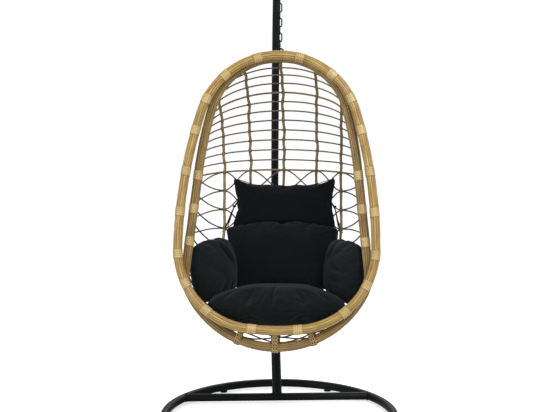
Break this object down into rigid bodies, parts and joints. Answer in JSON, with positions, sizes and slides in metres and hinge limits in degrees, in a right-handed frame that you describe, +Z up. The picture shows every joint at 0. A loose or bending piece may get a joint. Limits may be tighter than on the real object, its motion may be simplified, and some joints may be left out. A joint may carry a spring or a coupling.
{
  "type": "hanging egg chair",
  "caption": "Hanging egg chair: open wicker basket with dark cushions, hung by spring, swivel and chain from a curved steel pole on a ring foot",
  "frame": {"origin": "centre of the floor footprint, on the floor under the glides", "axes": "+Z up, the sitter faces -Y, +X to the right as seen from the front"},
  "size_m": [0.934, 0.9788, 1.921],
  "materials": {
    "black_steel": "satin black powder coat",
    "black_hardware": "black coated steel wire",
    "zinc_hardware": "bright zinc plate",
    "black_rubber": "matt rubber",
    "black_plastic": "fine matt moulding",
    "rattan": "lacquered honey-brown cane",
    "pale_binding": "pale lacquered binding cane",
    "charcoal_fabric": "soft matt charcoal cloth"
  },
  "bodies": {
    "stand": {"base_ring_rear": "black_steel", "base_ring_front": "black_steel", "base_ring_joiners": "zinc_hardware", "base_ring_screws": "zinc_hardware", "base_crossbar": "black_steel", "floor_glides": "black_rubber", "lower_pole": "black_steel", "upper_pole": "black_steel", "pole_bolt": "zinc_hardware", "arm_end_cap": "black_plastic", "arm_eye": "black_steel"},
    "top_link": {"top_quick_link": "zinc_hardware"},
    "hanger": {"suspension_spring": "zinc_hardware"},
    "swivel": {"swivel_body": "zinc_hardware"},
    "basket": {"swivel_eye": "zinc_hardware", "chain": "black_hardware", "basket_quick_link": "black_hardware", "basket_loop": "black_hardware", "front_rim_core": "black_steel", "front_rim_canes": "rattan", "front_rim_bindings": "pale_binding", "rear_rim_core": "black_steel", "rear_rim_canes": "rattan", "rear_rim_bindings": "pale_binding", "shell_ribs": "rattan", "shell_bands": "pale_binding", "shell_wires": "rattan", "woven_strands": "rattan", "seat_cushion": "charcoal_fabric", "back_cushion": "charcoal_fabric", "head_pillow": "charcoal_fabric", "arm_cushion_left": "charcoal_fabric", "arm_cushion_right": "charcoal_fabric"}
  },
  "joints": [
    {"name": "swing_fore_aft", "type": "hinge", "parent": "stand", "child": "top_link", "pos_m": [0, -0.036, 1.8652], "axis": [1, 0, 0], "range_deg": [-12, 4]},
    {"name": "swing_sideways", "type": "hinge", "parent": "top_link", "child": "hanger", "pos_m": [0, -0.036, 1.8184], "axis": [0, 1, 0], "range_deg": [-8, 8]},
    {"name": "bounce", "type": "slide", "parent": "hanger", "child": "swivel", "axis": [0, 0, 1], "range_m": [-0.03, 0.004], "stiffness_N_per_m": 20000, "springref_m": 0.012, "deforming": ["suspension_spring"]},
    {"name": "basket_spin", "type": "hinge", "parent": "swivel", "child": "basket", "pos_m": [0, -0.036, 1.63], "axis": [0, 0, 1], "continuous": true}
  ]
}
